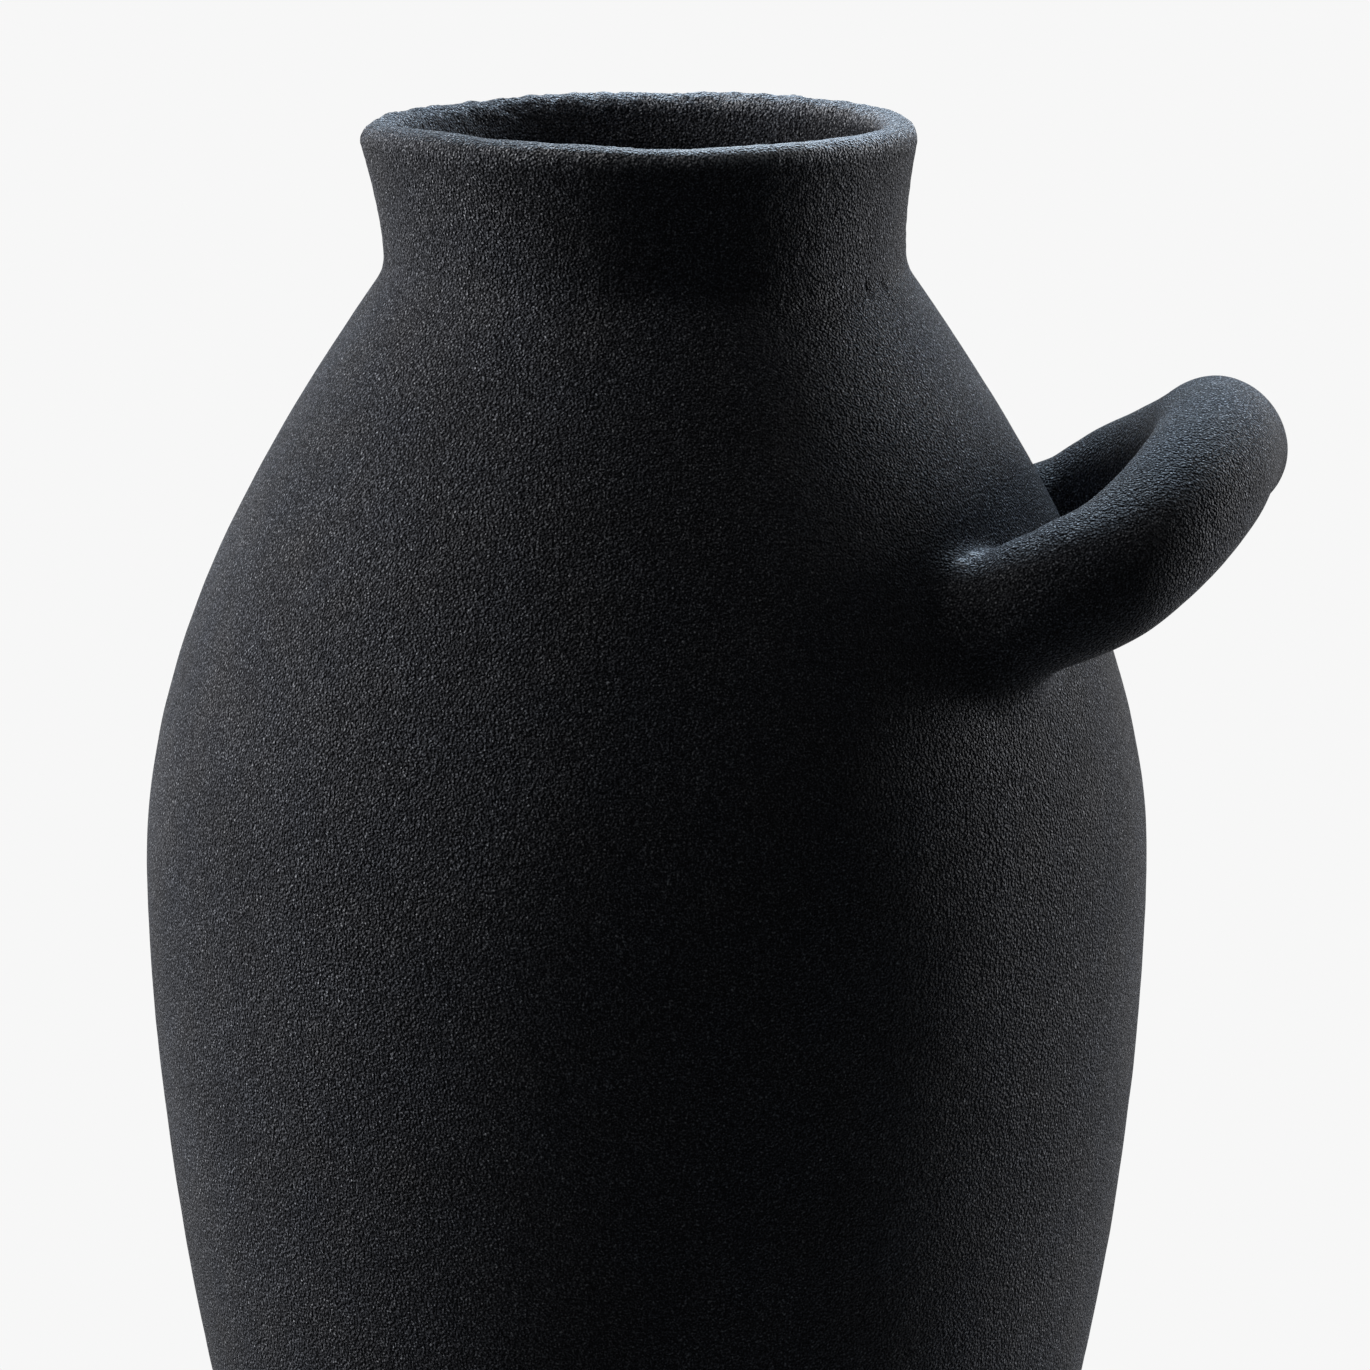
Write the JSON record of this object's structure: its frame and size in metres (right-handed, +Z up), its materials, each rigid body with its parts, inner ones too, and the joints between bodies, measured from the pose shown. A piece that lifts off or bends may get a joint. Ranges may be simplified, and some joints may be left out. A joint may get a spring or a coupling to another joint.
{
  "type": "vase",
  "caption": "Tall ovoid stoneware vase with a short flared collar and a looped coil handle on its shoulder, for stems or display.",
  "frame": {"origin": "centre of the flat underside, on the vessel's axis", "axes": "+Z up along the vessel's axis, +X towards the handle"},
  "size_m": [0.2266, 0.1998, 0.33],
  "materials": {
    "sanded_stoneware": "matt charcoal with a rough sandy grain",
    "bare_clay": "bare fired dark clay, smoothed by hand"
  },
  "bodies": {
    "root": {"base_disc": "sanded_stoneware", "base_seam_coil": "bare_clay", "lower_body": "sanded_stoneware", "belly_seam_coil": "bare_clay", "upper_body": "sanded_stoneware", "neck_collar": "sanded_stoneware", "handle_coil": "sanded_stoneware", "luting_coil_front": "sanded_stoneware", "luting_coil_rear": "sanded_stoneware"}
  },
  "joints": []
}
